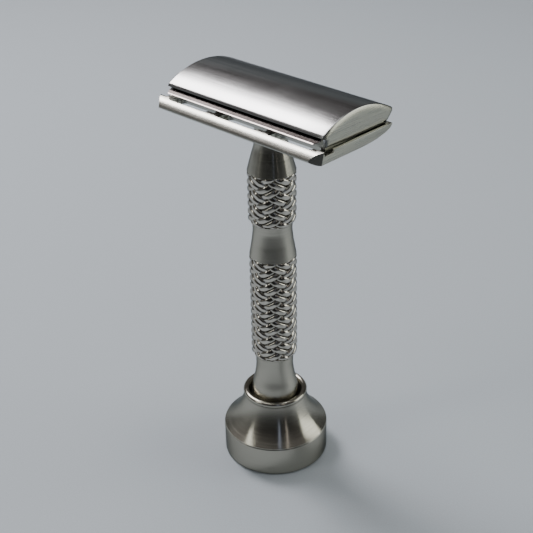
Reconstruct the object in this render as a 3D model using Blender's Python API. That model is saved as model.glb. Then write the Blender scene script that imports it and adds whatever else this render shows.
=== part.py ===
"""Three-piece single-edge safety razor standing in its weighted stand.

Metres, +Z up, and z = 0 is the table. The stand and the handle are turned round the Z axis.
The head's long axis is X, and the blade and its safety bar face -Y.
Sizes below are in millimetres; MM turns them into metres.
"""
import math

import bmesh
import bpy
from mathutils import Vector

MM = 0.001
SEGMENTS = 48            # facets round a turned piece
CURVE_STEPS = 3          # steps between the stations of a smooth curve
SMALL_ARC_STEPS = 4      # steps on a small rounding
SMOOTH_ANGLE = math.radians(32)
CUT_MARGIN = 1.0         # how far a cutter runs past the faces it cuts
FIT = 0.03               # radial gap of a pressed or screwed-in piece
CLAMP_GAP = 0.05         # above and below the clamped blade

# Stand: straight base, hollow-curved shoulder, rolled lip round a blind bore.
STAND_RADIUS = 13.0
STAND_FOOT = 0.2         # the steel stops just above the table, the pad reaches it
STAND_RIM_HEIGHT = 7.8
STAND_RIM_ROUND = 0.35
SHOULDER_TOP_RADIUS = 7.55
SHOULDER_TOP = 16.45
SHOULDER_HOLLOW = 0.8    # how far the shoulder dips below a straight cone
LIP_RADIUS = 0.75        # half the lip's thickness
LIP_CENTRE_RADIUS = 7.2
LIP_CENTRE_HEIGHT = 17.15
LIP_END_ANGLE = -35      # where the rolled lip runs into the shoulder
LIP_STEPS = 12
SHOULDER_STEPS = 10
BORE_RADIUS = 6.15
BORE_FLOOR = 5.0
PAD_RADIUS = 10.4
PAD_THICKNESS = 1.5
PAD_GAP = 0.1

# Handle: plain foot, waist, long grip, waist, short grip, cone and neck.
HANDLE_BOTTOM = 5.3
HANDLE_TOP = 89.0
FOOT_RADIUS = 5.9
FOOT_TOP = 16.7
FOOT_CHAMFER = 0.5
GRIP_RADIUS = 5.6
GRIP_END_ROUND = 0.6
GRIP_END_ANGLE = -60     # where a grip's rounded lower end meets the waist
LOWER_WAIST = [(5.48, 19.8), (4.9, 22.3), (4.56, 25.0), (4.68, 27.0)]
LOWER_GRIP = (28.4, 55.4)
MIDDLE_CONE_EDGE = (5.55, 56.0)
MIDDLE_WAIST = [(5.1, 58.5), (4.84, 60.1), (4.6, 62.3), (4.75, 63.6)]
UPPER_GRIP = (64.6, 76.8)
UPPER_CONE_EDGE = (5.6, 77.4)
UPPER_CONE = [(4.61, 81.0), (3.95, 83.3)]
NECK_RADIUS = 3.65
NECK_BOTTOM = 85.2
THREAD_BORE_RADIUS = 2.6
THREAD_BORE_FLOOR = 80.2

# Base plate, as a section in Y and Z, with its ends at +X and -X.
PLATE_HALF_LENGTH = 24.4
LEDGE_HEIGHT = 91.52     # top of the rim round the plate
PLATE_BOTTOM = 89.07
BAR_FACE = [(-10.1, 91.72), (-10.8, 91.51), (-11.4, 91.25), (-12.0, 90.86), (-12.5, 90.36), (-12.68, 89.98)]
BAR_UNDER = [(-12.55, 89.72), (-12.0, 89.35), (-11.4, 89.12), (-11.1, 89.07)]
BAR_EDGE_Y = -12.68      # outer edge of the safety bar
CORNER_START_Y = -10.87  # where the slanted front corners leave the plate's ends
PLATE_REAR_Y = 11.32
REAR_CURVE_START_Y = 0.5
REAR_TIP = 0.1           # height of the small flat under the rear rim
TROUGH_FLOOR = 90.8      # between the bar and the blade's bed, and beside the bed
TROUGH_FRONT_Y = -10.1
BED_FRONT_Y = -7.2
BED_BACK_Y = 8.0
BED_HALF_LENGTH = 22.1
BED_LOW_HEIGHT = 93.3
SIDE_TROUGH_OUTER_X = 23.95
SIDE_TROUGH_BACK_Y = 9.9
SIDE_TROUGH_CORNER = 0.5
REAR_STEPS = 10          # steps on the underside's rising curve
STUD_HOLE_RADIUS = 2.75

# Lather windows behind the bar: one in the middle, one on each side.
MIDDLE_WINDOW_HALF = 6.6
SIDE_WINDOW = (8.85, 21.65)
WINDOW_FRONT_Y = -10.8
WINDOW_CORNER = 1.2
UNDERCUT_FRONT_Y = -8.6  # below the bed the windows open further back
UNDERCUT_BACK_Y = -5.6
UNDERCUT_TOP = 90.6
SLOT_CORNER_STEPS = 5

# Blade: a flat strip clamped at a slope, cutting edge towards -Y.
BLADE_SLOPE = math.radians(16.4)
BLADE_THICKNESS = 0.25
EDGE_Y = -10.51
EDGE_HEIGHT = 92.81      # upper surface of the blade at its cutting edge
EDGE_HALF_LENGTH = 21.51
BLADE_HALF_LENGTH = 22.25
BLADE_CORNER = 1.1
BLADE_BACK_Y = -3.4

# Locating pins through the blade.
PIN_X = 15.0
PIN_Y = -5.3
PIN_RADIUS = 1.0
PIN_HOLE_RADIUS = 1.12
PIN_TOP = 95.3
PIN_BOTTOM = 91.9
PIN_HOLE_FLOOR = 91.5
PIN_CHAMFER = 0.25

# Cap: a round-topped shell over the blade, with a skirt at each end.
CAP_HALF_LENGTH = 23.36
CAP_CROWN_HEIGHT = 97.3
CAP_WIDEST_HEIGHT = 94.08
CAP_FRONT_Y = -9.2
CAP_BACK_Y = 13.0
CAP_CROWN_STEPS = 12     # on each side of the crown
CAP_NOSE_ROUND = 1.2
CAP_NOSE_END = 163.5     # angle at which the rolled nose stops, above the blade
CAP_NOSE_STEPS = 7
CAP_RELIEF_HEIGHT = 93.78  # underside of the nose, clear of the blade's front
CAP_REAR_RIM = (11.4, 91.62)
CAP_REAR_SIDE_HEIGHT = 93.45
SKIRT_INNER_X = 22.45
SKIRT_FRONT_Y = -8.3
SKIRT_BACK_Y = 9.6
SKIRT_FRONT_HEIGHT = 91.6
SKIRT_BACK_HEIGHT = 91.0
CAP_INNER_FRONT_Y = -3.15
CAP_INNER_BACK_Y = 8.4
CAP_INNER_HEIGHT = 93.6

# Threaded stud, M5 x 0.8, drawn at its thread's outer radius.
STUD_RADIUS = 2.45
STUD_TOP = 95.9
STUD_BOTTOM = 81.5
STUD_CHAMFER = 0.4


def clear_scene():
    for item in list(bpy.data.objects):
        bpy.data.objects.remove(item, do_unlink=True)


def material(name, colour, roughness, metallic):
    made = bpy.data.materials.new(name)
    made.use_nodes = True
    shader = made.node_tree.nodes["Principled BSDF"]
    shader.inputs["Base Color"].default_value = (*colour, 1.0)
    shader.inputs["Roughness"].default_value = roughness
    shader.inputs["Metallic"].default_value = metallic
    made.diffuse_color = (*colour, 1.0)
    return made


def add_object(name, bm, look=None):
    """Turn a bmesh into an object and give it its material."""
    bmesh.ops.recalc_face_normals(bm, faces=bm.faces)
    mesh = bpy.data.meshes.new(name)
    bm.to_mesh(mesh)
    bm.free()
    made = bpy.data.objects.new(name, mesh)
    bpy.context.scene.collection.objects.link(made)
    if look is not None:
        mesh.materials.append(look)
    return made


def cut_away(target, tool):
    cut = target.modifiers.new(tool.name, "BOOLEAN")
    cut.operation = "DIFFERENCE"
    cut.solver = "EXACT"
    cut.object = tool
    tool.hide_render = True
    tool.display_type = "WIRE"


def arc(centre, radius, start, end, steps):
    """Points on an arc in the (across, up) plane; angles in degrees."""
    points = []
    for step in range(steps + 1):
        angle = math.radians(start + (end - start) * step / steps)
        points.append((centre[0] + radius * math.cos(angle), centre[1] + radius * math.sin(angle)))
    return points


def bowed_line(start, end, bow, steps):
    """Points from start to end along an arc that leaves the straight line by bow."""
    start, end = Vector(start), Vector(end)
    chord = end - start
    normal = Vector((-chord.y, chord.x)).normalized()
    points = []
    for step in range(steps + 1):
        t = step / steps
        points.append(tuple(start + chord * t + normal * (4.0 * bow * t * (1.0 - t))))
    return points


def smooth_through(stations, steps):
    """A Catmull-Rom curve through the stations."""
    ends = [Vector(p) for p in stations]
    padded = [ends[0] * 2 - ends[1]] + ends + [ends[-1] * 2 - ends[-2]]
    points = [tuple(ends[0])]
    for before, here, after, beyond in zip(padded, padded[1:], padded[2:], padded[3:]):
        for step in range(1, steps + 1):
            t = step / steps
            point = 0.5 * (
                2.0 * here
                + (after - before) * t
                + (2.0 * before - 5.0 * here + 4.0 * after - beyond) * t ** 2
                + (3.0 * here - before - 3.0 * after + beyond) * t ** 3
            )
            points.append(tuple(point))
    return points


def turned(name, outline, look=None):
    """Spin an outline of (radius, height) points about the Z axis."""
    bm = bmesh.new()
    ring = [bm.verts.new((radius * MM, 0.0, height * MM)) for radius, height in outline]
    edges = [bm.edges.new(pair) for pair in zip(ring, ring[1:])]
    bmesh.ops.spin(
        bm, geom=ring + edges, cent=(0, 0, 0), axis=(0, 0, 1), angle=math.tau,
        steps=SEGMENTS, use_merge=True,
    )
    bmesh.ops.remove_doubles(bm, verts=bm.verts, dist=0.001 * MM)
    made = add_object(name, bm, look)
    shade(made)
    return made


def shade(made):
    made.data.shade_smooth()
    made.data.set_sharp_from_angle(angle=SMOOTH_ANGLE)


def prism(name, section, x_low, x_high, look=None):
    """Extrude a closed (y, z) section along X."""
    bm = bmesh.new()
    low = [bm.verts.new((x_low * MM, y * MM, z * MM)) for y, z in section]
    face = bm.faces.new(low)
    grown = bmesh.ops.extrude_face_region(bm, geom=[face])["geom"]
    moved = [item for item in grown if isinstance(item, bmesh.types.BMVert)]
    bmesh.ops.translate(bm, verts=moved, vec=((x_high - x_low) * MM, 0, 0))
    return add_object(name, bm, look)


def plate_cut(name, outline, z_low, z_high):
    """A cutter: extrude a closed (x, y) outline along Z."""
    bm = bmesh.new()
    low = [bm.verts.new((x * MM, y * MM, z_low * MM)) for x, y in outline]
    face = bm.faces.new(low)
    grown = bmesh.ops.extrude_face_region(bm, geom=[face])["geom"]
    moved = [item for item in grown if isinstance(item, bmesh.types.BMVert)]
    bmesh.ops.translate(bm, verts=moved, vec=(0, 0, (z_high - z_low) * MM))
    return add_object(name, bm)


def cylinder(name, radius, low, high, centre=(0.0, 0.0), chamfer=0.0, look=None):
    """A closed cylinder along Z, with an optional chamfer at its lower end."""
    outline = [(0.0, high), (radius, high), (radius, low + chamfer)]
    if chamfer:
        outline.append((radius - chamfer, low))
    else:
        outline[-1] = (radius, low)
    outline.append((0.0, low))
    made = turned(name, outline, look)
    for vertex in made.data.vertices:
        vertex.co += Vector((centre[0] * MM, centre[1] * MM, 0.0))
    return made


def rounded_slot(x_low, x_high, y_low, y_high, corner):
    """Outline of a rectangle with round corners."""
    outline = []
    outline += arc((x_high - corner, y_low + corner), corner, -90, 0, SLOT_CORNER_STEPS)
    outline += arc((x_high - corner, y_high - corner), corner, 0, 90, SLOT_CORNER_STEPS)
    outline += arc((x_low + corner, y_high - corner), corner, 90, 180, SLOT_CORNER_STEPS)
    outline += arc((x_low + corner, y_low + corner), corner, 180, 270, SLOT_CORNER_STEPS)
    return outline


def blade_top(y):
    """Height of the blade's upper surface."""
    return EDGE_HEIGHT + (y - EDGE_Y) * math.tan(BLADE_SLOPE)


def blade_drop():
    """Vertical distance between the blade's upper and lower surfaces."""
    return BLADE_THICKNESS / math.cos(BLADE_SLOPE)


def bed_top(y):
    return blade_top(y) - blade_drop() - CLAMP_GAP


def build_stand(steel):
    """One turned piece, open at the top, with a shallow recess underneath for the pad."""
    recess_top = PAD_THICKNESS + PAD_GAP
    recess_radius = PAD_RADIUS + PAD_GAP
    outline = [(0.0, BORE_FLOOR), (BORE_RADIUS, BORE_FLOOR), (BORE_RADIUS, LIP_CENTRE_HEIGHT - LIP_RADIUS)]
    outline += arc((LIP_CENTRE_RADIUS, LIP_CENTRE_HEIGHT), LIP_RADIUS, 180, LIP_END_ANGLE, LIP_STEPS)
    outline += bowed_line(
        (SHOULDER_TOP_RADIUS, SHOULDER_TOP),
        (STAND_RADIUS - STAND_RIM_ROUND * 0.5, STAND_RIM_HEIGHT + STAND_RIM_ROUND * 0.5),
        -SHOULDER_HOLLOW, SHOULDER_STEPS,
    )
    rim_across = STAND_RADIUS - STAND_RIM_ROUND
    outline += arc((rim_across, STAND_RIM_HEIGHT - STAND_RIM_ROUND), STAND_RIM_ROUND, 45, 0, SMALL_ARC_STEPS)
    outline += arc((rim_across, STAND_FOOT + STAND_RIM_ROUND), STAND_RIM_ROUND, 0, -90, SMALL_ARC_STEPS)
    outline += [(recess_radius, STAND_FOOT), (recess_radius, recess_top), (0.0, recess_top)]
    return turned("stand", outline, steel)


def build_pad(rubber):
    return cylinder("stand_pad", PAD_RADIUS, 0.0, PAD_THICKNESS, look=rubber)


def grip_outline(bottom, top):
    """Outer side of a grip, from its top edge down to its rounded lower end."""
    centre = (GRIP_RADIUS - GRIP_END_ROUND, bottom + GRIP_END_ROUND)
    return [(GRIP_RADIUS, top)] + arc(centre, GRIP_END_ROUND, 0, GRIP_END_ANGLE, SMALL_ARC_STEPS)


def build_handle(steel):
    """One turned bar with a tapped bore in its top end."""
    outline = [(0.0, THREAD_BORE_FLOOR), (THREAD_BORE_RADIUS, THREAD_BORE_FLOOR)]
    outline += [(THREAD_BORE_RADIUS, HANDLE_TOP), (NECK_RADIUS, HANDLE_TOP)]
    outline += smooth_through([(NECK_RADIUS, NECK_BOTTOM)] + UPPER_CONE[::-1] + [UPPER_CONE_EDGE], CURVE_STEPS)
    outline += grip_outline(*UPPER_GRIP)
    outline += smooth_through(MIDDLE_WAIST[::-1] + [MIDDLE_CONE_EDGE], CURVE_STEPS)
    outline += grip_outline(*LOWER_GRIP)
    outline += smooth_through(LOWER_WAIST[::-1] + [(FOOT_RADIUS, FOOT_TOP)], CURVE_STEPS)
    outline += [(FOOT_RADIUS, HANDLE_BOTTOM + FOOT_CHAMFER), (FOOT_RADIUS - FOOT_CHAMFER, HANDLE_BOTTOM)]
    outline += [(0.0, HANDLE_BOTTOM)]
    return turned("handle", outline, steel)


def plate_underside(y):
    """Lower surface of the plate: flat in front, an ellipse rising to the rear rim."""
    reach = PLATE_REAR_Y - REAR_CURVE_START_Y
    depth = LEDGE_HEIGHT - REAR_TIP - PLATE_BOTTOM
    along = max(0.0, (y - REAR_CURVE_START_Y) / reach)
    return LEDGE_HEIGHT - REAR_TIP - depth * math.sqrt(max(0.0, 1.0 - along ** 2))


def plate_section():
    """Section through the plate, bar and bed, going round from the bar's crest."""
    bar = smooth_through(BAR_FACE, CURVE_STEPS)
    bar += smooth_through([BAR_FACE[-1]] + BAR_UNDER, CURVE_STEPS)[1:]
    rear = []
    for step in range(REAR_STEPS + 1):
        along = math.sin(math.pi / 2 * step / REAR_STEPS)
        y = REAR_CURVE_START_Y + (PLATE_REAR_Y - REAR_CURVE_START_Y) * along
        rear.append((y, plate_underside(y)))
    top = [
        (PLATE_REAR_Y, LEDGE_HEIGHT),
        (BED_BACK_Y, LEDGE_HEIGHT),
        (BED_BACK_Y, BED_LOW_HEIGHT),
        (BLADE_BACK_Y - CLAMP_GAP, BED_LOW_HEIGHT),
        (BLADE_BACK_Y - CLAMP_GAP, bed_top(BLADE_BACK_Y - CLAMP_GAP)),
        (BED_FRONT_Y, bed_top(BED_FRONT_Y)),
        (BED_FRONT_Y, TROUGH_FLOOR),
        (TROUGH_FRONT_Y, TROUGH_FLOOR),
    ]
    return bar + rear + top


def plate_cutters():
    """Everything that is milled out of the plate's blank."""
    cutters = []
    low = PLATE_BOTTOM - CUT_MARGIN
    high = blade_top(BLADE_BACK_Y) + CUT_MARGIN
    past = PLATE_HALF_LENGTH + CUT_MARGIN
    windows = [(-MIDDLE_WINDOW_HALF, MIDDLE_WINDOW_HALF), SIDE_WINDOW, (-SIDE_WINDOW[1], -SIDE_WINDOW[0])]
    for number, (x_low, x_high) in enumerate(windows):
        outline = rounded_slot(x_low, x_high, WINDOW_FRONT_Y, BED_FRONT_Y, WINDOW_CORNER)
        cutters.append(plate_cut(f"window_cutter_{number}", outline, low, high))
        undercut = rounded_slot(x_low, x_high, UNDERCUT_FRONT_Y, UNDERCUT_BACK_Y, WINDOW_CORNER)
        cutters.append(plate_cut(f"undercut_cutter_{number}", undercut, low, UNDERCUT_TOP))
    for side, name in ((1, "right"), (-1, "left")):
        beside_bed = [
            (side * BED_HALF_LENGTH, TROUGH_FRONT_Y + CUT_MARGIN),
            (side * past, TROUGH_FRONT_Y + CUT_MARGIN),
            (side * past, PLATE_REAR_Y + CUT_MARGIN),
            (side * BED_HALF_LENGTH, PLATE_REAR_Y + CUT_MARGIN),
        ]
        cutters.append(plate_cut(f"bed_end_cutter_{name}", beside_bed, LEDGE_HEIGHT, high))
        x_inner = BED_HALF_LENGTH * side
        x_outer = SIDE_TROUGH_OUTER_X * side
        trough = rounded_slot(min(x_inner, x_outer), max(x_inner, x_outer),
                              TROUGH_FRONT_Y, SIDE_TROUGH_BACK_Y, SIDE_TROUGH_CORNER)
        cutters.append(plate_cut(f"side_trough_cutter_{name}", trough, TROUGH_FLOOR, high))
        run = CORNER_START_Y - BAR_EDGE_Y
        front_corner = [
            (side * past, CORNER_START_Y + CUT_MARGIN),
            (side * (PLATE_HALF_LENGTH - run - CUT_MARGIN), BAR_EDGE_Y - CUT_MARGIN),
            (side * past, BAR_EDGE_Y - CUT_MARGIN),
        ]
        cutters.append(plate_cut(f"front_corner_cutter_{name}", front_corner, low, high))
        cutters.append(cylinder(f"plate_pin_hole_{name}", PIN_HOLE_RADIUS, PIN_HOLE_FLOOR, high,
                                (side * PIN_X, PIN_Y)))
    cutters.append(cylinder("plate_stud_hole", STUD_HOLE_RADIUS, low, high))
    return cutters


def build_base_plate(steel):
    plate = prism("base_plate", plate_section(), -PLATE_HALF_LENGTH, PLATE_HALF_LENGTH, steel)
    for cutter in plate_cutters():
        cut_away(plate, cutter)
    return plate


def build_blade(steel):
    """A flat strip with clipped front corners, laid on its slope."""
    depth = (BLADE_BACK_Y - EDGE_Y) / math.cos(BLADE_SLOPE)
    outline = [
        (-EDGE_HALF_LENGTH, 0.0), (EDGE_HALF_LENGTH, 0.0), (BLADE_HALF_LENGTH, BLADE_CORNER),
        (BLADE_HALF_LENGTH, depth), (-BLADE_HALF_LENGTH, depth), (-BLADE_HALF_LENGTH, BLADE_CORNER),
    ]
    bm = bmesh.new()
    across, up = math.cos(BLADE_SLOPE), math.sin(BLADE_SLOPE)
    corners = {}
    for layer, offset in (("top", 0.0), ("bottom", -BLADE_THICKNESS)):
        corners[layer] = []
        for x, v in outline:
            y = EDGE_Y + v * across - offset * up
            z = EDGE_HEIGHT + v * up + offset * across
            corners[layer].append(bm.verts.new((x * MM, y * MM, z * MM)))
    bm.faces.new(corners["top"])
    bm.faces.new(corners["bottom"][::-1])
    count = len(outline)
    for index in range(count):
        following = (index + 1) % count
        bm.faces.new((corners["top"][index], corners["bottom"][index],
                      corners["bottom"][following], corners["top"][following]))
    blade = add_object("blade", bm, steel)
    for side, name in ((1, "right"), (-1, "left")):
        hole = cylinder(f"blade_pin_hole_{name}", PIN_HOLE_RADIUS, PIN_HOLE_FLOOR, PIN_TOP + CUT_MARGIN,
                        (side * PIN_X, PIN_Y))
        cut_away(blade, hole)
    return blade


def cap_top():
    """The cap's round top from back to front, and the rolled nose that it runs into."""
    middle = 0.5 * (CAP_FRONT_Y + CAP_BACK_Y)
    half = 0.5 * (CAP_BACK_Y - CAP_FRONT_Y)
    rise = CAP_CROWN_HEIGHT - CAP_WIDEST_HEIGHT
    radius = (half ** 2 + rise ** 2) / (2.0 * rise)
    centre = (middle, CAP_CROWN_HEIGHT - radius)
    nose_y = CAP_FRONT_Y + CAP_NOSE_ROUND
    nose_rise = math.sqrt((radius - CAP_NOSE_ROUND) ** 2 - (nose_y - middle) ** 2)
    nose_start = math.degrees(math.atan2(nose_rise, nose_y - middle))
    rear_start = 90.0 - math.degrees(math.asin(half / radius))
    top = arc(centre, radius, rear_start, 90.0, CAP_CROWN_STEPS)
    top += arc(centre, radius, 90.0, nose_start, CAP_CROWN_STEPS)[1:]
    nose_centre = (nose_y, centre[1] + nose_rise)
    return top + arc(nose_centre, CAP_NOSE_ROUND, nose_start, CAP_NOSE_END, CAP_NOSE_STEPS)[1:]


def cap_section():
    """Section through the cap and its end skirts, going round from the rear edge over the top."""
    top = cap_top()
    skirt = [
        (SKIRT_FRONT_Y, top[-1][1]),
        (SKIRT_FRONT_Y, SKIRT_FRONT_HEIGHT),
        (SKIRT_BACK_Y, SKIRT_BACK_HEIGHT),
        (SKIRT_BACK_Y, CAP_REAR_RIM[1]),
    ]
    rear = [CAP_REAR_RIM, (CAP_BACK_Y, CAP_REAR_SIDE_HEIGHT)]
    return top + skirt + rear


def cap_cutters():
    """The hollow under the cap, between the skirts, and the holes for the stud and pins."""
    low = SKIRT_BACK_HEIGHT - CUT_MARGIN
    front = CAP_FRONT_Y - CUT_MARGIN
    press_y = EDGE_Y + (CAP_RELIEF_HEIGHT - CLAMP_GAP - EDGE_HEIGHT) / math.tan(BLADE_SLOPE)
    hollow = [
        (front, low),
        (front, CAP_RELIEF_HEIGHT),
        (press_y, CAP_RELIEF_HEIGHT),
        (CAP_INNER_FRONT_Y, blade_top(CAP_INNER_FRONT_Y) + CLAMP_GAP),
        (CAP_INNER_FRONT_Y, CAP_INNER_HEIGHT),
        (CAP_INNER_BACK_Y, CAP_INNER_HEIGHT),
        (CAP_INNER_BACK_Y, CAP_REAR_RIM[1]),
        (SKIRT_BACK_Y, CAP_REAR_RIM[1]),
        (SKIRT_BACK_Y, low),
    ]
    cutters = [prism("cap_hollow_cutter", hollow, -SKIRT_INNER_X, SKIRT_INNER_X)]
    cutters.append(cylinder("cap_stud_hole", STUD_RADIUS + FIT, low, STUD_TOP + FIT))
    for side, name in ((1, "right"), (-1, "left")):
        cutters.append(cylinder(f"cap_pin_hole_{name}", PIN_RADIUS + FIT, low, PIN_TOP + FIT,
                                (side * PIN_X, PIN_Y)))
    return cutters


def build_cap(steel):
    cap = prism("cap", cap_section(), -CAP_HALF_LENGTH, CAP_HALF_LENGTH, steel)
    for cutter in cap_cutters():
        cut_away(cap, cutter)
    return cap


def build_fixings(steel):
    """The stud and the two locating pins that are fixed in the cap."""
    cylinder("cap_stud", STUD_RADIUS, STUD_BOTTOM, STUD_TOP, chamfer=STUD_CHAMFER, look=steel)
    for side, name in ((1, "right"), (-1, "left")):
        cylinder(f"locating_pin_{name}", PIN_RADIUS, PIN_BOTTOM, PIN_TOP, (side * PIN_X, PIN_Y),
                 chamfer=PIN_CHAMFER, look=steel)


def main():
    clear_scene()
    satin = material("satin_steel", (0.56, 0.55, 0.53), 0.3, 1.0)
    brushed = material("brushed_steel", (0.62, 0.61, 0.6), 0.25, 1.0)
    machined = material("machined_steel", (0.58, 0.57, 0.55), 0.35, 1.0)
    blade_steel = material("blade_steel", (0.66, 0.62, 0.6), 0.3, 1.0)
    rubber = material("pad_rubber", (0.02, 0.02, 0.022), 0.8, 0.0)
    build_stand(satin)
    build_pad(rubber)
    build_handle(satin)
    build_base_plate(brushed)
    build_blade(blade_steel)
    build_cap(brushed)
    build_fixings(machined)


main()
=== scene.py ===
"""Looks of the safety razor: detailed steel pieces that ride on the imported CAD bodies.

Sizes are in millimetres, and MM turns them into Blender's metres. +Z is up, and z = 0 is the table.
The head's long axis is X, and the blade and its safety bar face -Y.
"""
import math

import bmesh
import bpy
from mathutils import Matrix, Vector


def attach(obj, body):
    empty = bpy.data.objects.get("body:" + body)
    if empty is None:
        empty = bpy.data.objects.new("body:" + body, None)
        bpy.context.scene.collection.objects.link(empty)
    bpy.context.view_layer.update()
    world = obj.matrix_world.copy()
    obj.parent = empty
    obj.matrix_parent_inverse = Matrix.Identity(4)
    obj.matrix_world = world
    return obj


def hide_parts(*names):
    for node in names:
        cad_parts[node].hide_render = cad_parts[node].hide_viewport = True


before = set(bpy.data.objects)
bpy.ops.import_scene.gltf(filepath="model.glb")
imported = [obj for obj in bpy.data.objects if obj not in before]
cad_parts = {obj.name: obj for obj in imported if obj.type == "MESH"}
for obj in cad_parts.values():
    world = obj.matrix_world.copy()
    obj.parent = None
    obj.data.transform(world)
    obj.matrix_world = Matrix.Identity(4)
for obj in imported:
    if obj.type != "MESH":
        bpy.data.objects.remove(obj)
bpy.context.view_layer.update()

MM = 0.001
STAND_BODY = "stand_body"
HANDLE_BODY = "handle_body"
PLATE_BODY = "plate_body"
BLADE_BODY = "blade_body"
CAP_BODY = "cap_body"

# Camera: place, heading, tilt down, roll and lens. Its clipping distances are in metres.
CAMERA_PLACE = (149.15, -153.22, 174.84)
CAMERA_HEADING = 44.65
CAMERA_TILT = 29.81
CAMERA_ROLL = -1.17
CAMERA_LENS = 70.92
CAMERA_SENSOR = 36.0
CAMERA_NEAR = 0.01
CAMERA_FAR = 10.0

# Studio: colours are linear, and directions count from the camera's side, turning to its right.
FLOOR_COLOUR = (0.6, 0.66, 0.72)
FLOOR_ROUGHNESS = 0.7
FLOOR_HALF_SIZE = 1.5    # metres
FLOOR_PAINTED_SHADE_START = 0.08   # metres towards the camera's side, where painted shade starts to darken the paper's colour
FLOOR_PAINTED_SHADE_END = 0.2
FLOOR_PAINTED_SHADE_SHARE = 0.3          # share of the colour that is left there
FLOOR_GRAIN = (2500.0, 2500.0, 2500.0)
FLOOR_GRAIN_DETAIL = 2.0
FLOOR_GRAIN_TONES = (0.97, 1.03)
LIGHT_AIM = (0.0, 0.0, 60.0)
WORLD_STRENGTH = 1.0
WORLD_BY_HEIGHT = [
    (0.0, (0.36, 0.37, 0.36)),
    (0.34, (0.33, 0.35, 0.35)),
    (0.42, (0.11, 0.09, 0.085)),
    (0.5, (0.14, 0.125, 0.12)),
    (0.6, (0.28, 0.26, 0.255)),
    (0.72, (0.5, 0.48, 0.47)),
    (1.0, (0.34, 0.34, 0.34)),
]
# from behind the razor (0) to the camera's side (1)
WORLD_BY_SIDE = [
    (0.0, (1.0, 1.0, 1.0)),
    (0.02, (1.0, 1.0, 1.0)),
    (0.08, (0.4, 0.4, 0.4)),
    (0.2, (0.25, 0.25, 0.25)),
    (0.5, (0.5, 0.5, 0.5)),
    (0.85, (0.12, 0.12, 0.12)),
    (1.0, (0.05, 0.05, 0.05)),
]
# name, turn, rise, distance, size, radiance, colour
SOFTBOXES = [
    ("key_softbox", -139.0, 49.5, 0.7, (0.2, 0.28), 13.0, (1.0, 0.97, 0.98)),
    ("key_glow", -147.0, 46.5, 0.72, (0.23, 0.3), 3.2, (1.0, 0.97, 0.98)),
    ("left_softbox", -70.0, 40.0, 0.8, (0.12, 0.5), 2.6, (0.98, 1.0, 0.94)),
    ("right_softbox", 91.0, 19.0, 0.9, (0.6, 0.5), 2.1, (0.97, 1.0, 0.93)),
    ("top_softbox", 180.0, 84.0, 0.8, (0.5, 0.4), 2.6, (1.0, 1.0, 1.0)),
    ("blue_strip", 9.0, 36.0, 0.9, (0.06, 0.75), 0.6, (0.6, 0.7, 1.0)),
    ("pink_strip", 30.0, 36.0, 0.9, (0.04, 0.75), 1.0, (1.0, 0.93, 0.9)),
]

TURNED_SEGMENTS = 192
SMOOTH_ANGLE = math.radians(28)
BEVEL_SEGMENTS = 3

# Metal: noise spread, line tones, the tint of glancing reflections, worn edges and painted shade in
# recesses by pointiness, and faint handling smudges.
NOISE_LOW = 0.3
NOISE_HIGH = 0.7
LINE_DETAIL = 4.0
LINE_ROUGH_DETAIL = 2.0
LINE_ROUGH = (0.9, 1.12)  # of the steel's own roughness
LINE_DARK = 0.89
LINE_LIGHT = 1.08
EDGE_TINT = (0.22, 0.24, 0.26)
WEAR_START = 0.53
WEAR_FULL = 0.6
WEAR_LIGHT = 1.35
# painted shade: recesses found by pointiness are darkened
PAINTED_RECESS_SHADE_DEEP = 0.36
PAINTED_RECESS_SHADE_START = 0.485
PAINTED_RECESS_SHADE_DARK = 0.08
SMUDGE_SCALE = (180.0, 180.0, 180.0)
SMUDGE_DETAIL = 3.0
SMUDGE_TONES = (0.94, 1.07)
QUARTER_TURN = 0.25

# Steels: colour, roughness, tool-line scale along X, Y and Z, and the lines' bump in millimetres. A brushed
# one adds the axis that its tangent runs round, the anisotropy, and whether that is turned a quarter.
STEELS = {
    "turned_steel": ((0.49, 0.47, 0.405), 0.21, (6.0, 6.0, 3000.0), 0.00003, "Z", 0.9, True),
    "braid_steel": ((0.6, 0.57, 0.51), 0.11, (1500.0, 1500.0, 1500.0), 0.0002),
    "cap_steel": ((0.45, 0.45, 0.45), 0.18, (25.0, 2500.0, 2500.0), 0.0001, "X", 0.75),
    "end_steel": ((0.47, 0.465, 0.405), 0.28, (3000.0, 40.0, 3000.0), 0.0005, "Z", 0.7, True),
    "plate_steel": ((0.47, 0.465, 0.425), 0.24, (25.0, 3000.0, 3000.0), 0.0001, "X", 0.75),
    "strip_steel": ((0.25, 0.22, 0.21), 0.16, (2600.0, 60.0, 60.0), 0.0004, "X", 0.3),
    "machined_steel": ((0.45, 0.44, 0.42), 0.25, (6.0, 6.0, 3000.0), 0.0004, "Z", 0.6, True),
}

# Rubber
RUBBER_COLOUR = (0.018, 0.018, 0.02)
RUBBER_RUBBED = (0.045, 0.045, 0.048)
RUBBER_PITS = (3500.0, 3500.0, 3500.0)
RUBBER_PIT_DETAIL = 5.0
RUBBER_PIT_STRENGTH = 0.6
RUBBER_PIT_DEPTH = 0.05
RUBBER_ROUGHNESS = 0.8
RUBBER_ROUGH = (0.62, 0.9)  # from smudged to clean

# Stand
STAND_RADIUS = 13.0
STAND_FOOT = 0.2
STAND_RIM_HEIGHT = 7.8
STAND_RIM_ROUND = 0.3
RIM_TOP_STEPS = 5
RIM_FOOT_STEPS = 6
SHOULDER_TOP_RADIUS = 7.55
SHOULDER_TOP = 16.45
SHOULDER_HOLLOW = 0.8
SHOULDER_STEPS = 24
LIP_RADIUS = 0.75
LIP_CENTRE_RADIUS = 7.2
LIP_CENTRE_HEIGHT = 17.15
LIP_END_ANGLE = -35      # where the rolled lip runs into the shoulder
LIP_STEPS = 20
BORE_RADIUS = 6.15
BORE_FLOOR = 5.0
PAD_RECESS_RADIUS = 10.5
PAD_RECESS_TOP = 1.6

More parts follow.
